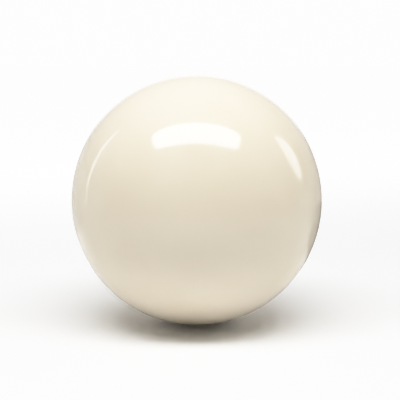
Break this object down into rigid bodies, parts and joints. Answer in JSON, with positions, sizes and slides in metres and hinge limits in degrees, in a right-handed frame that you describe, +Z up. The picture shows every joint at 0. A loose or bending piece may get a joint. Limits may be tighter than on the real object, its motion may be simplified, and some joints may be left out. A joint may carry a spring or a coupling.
{
  "type": "cue ball",
  "caption": "Solid polished ball of ivory-coloured cast resin, with no marks, holes or seams, that a cue strikes on a billiard table.",
  "frame": {"origin": "centre of the ball, which is also its centre of mass", "axes": "+Z up, away from the cloth it rests on; the ball is the same about every axis, so X and Y are free"},
  "size_m": [0.0572, 0.0572, 0.0572],
  "materials": {
    "ivory_resin": "polished"
  },
  "bodies": {
    "root": {"ball": "ivory_resin"}
  },
  "joints": []
}
